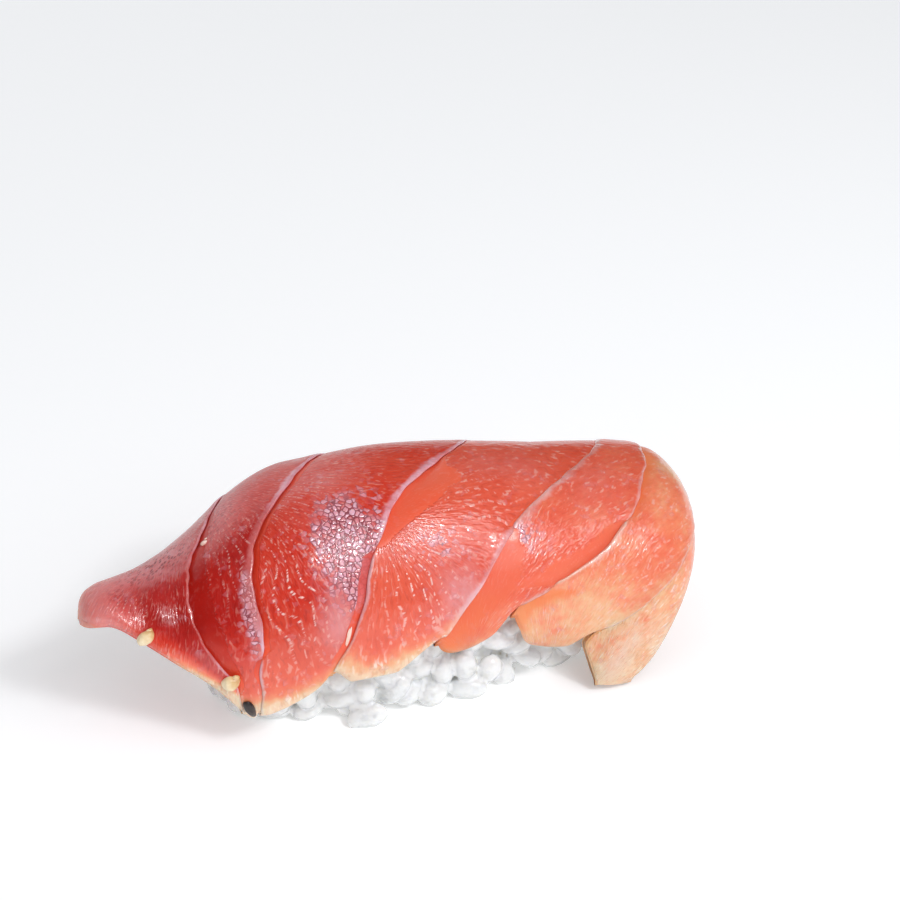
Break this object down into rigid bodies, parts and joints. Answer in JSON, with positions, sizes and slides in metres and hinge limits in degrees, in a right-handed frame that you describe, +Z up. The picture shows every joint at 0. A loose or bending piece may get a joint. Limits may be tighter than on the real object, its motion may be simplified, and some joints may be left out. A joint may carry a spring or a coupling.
{
  "type": "tuna nigiri",
  "caption": "Slice of raw tuna scored with slanted cuts, draped over a pressed loaf of rice that shows grain by grain along the front; lies on its flat underside.",
  "frame": {"origin": "middle of the rice loaf's flat underside", "axes": "+X along the loaf from the slice's narrow tip to its broad end, +Z up, -Y the side with the shorter hem that shows the rice"},
  "size_m": [0.0802, 0.0323, 0.0299],
  "materials": {
    "tuna": "wet raw tuna: translucent red flesh that pales to peach at the broad end and the hems, glossy lips along the cuts",
    "rice": "cooked short-grain rice, translucent white, sticky sheen"
  },
  "bodies": {
    "root": {"tuna_slice": "tuna", "rice_bed": "rice"}
  },
  "joints": []
}
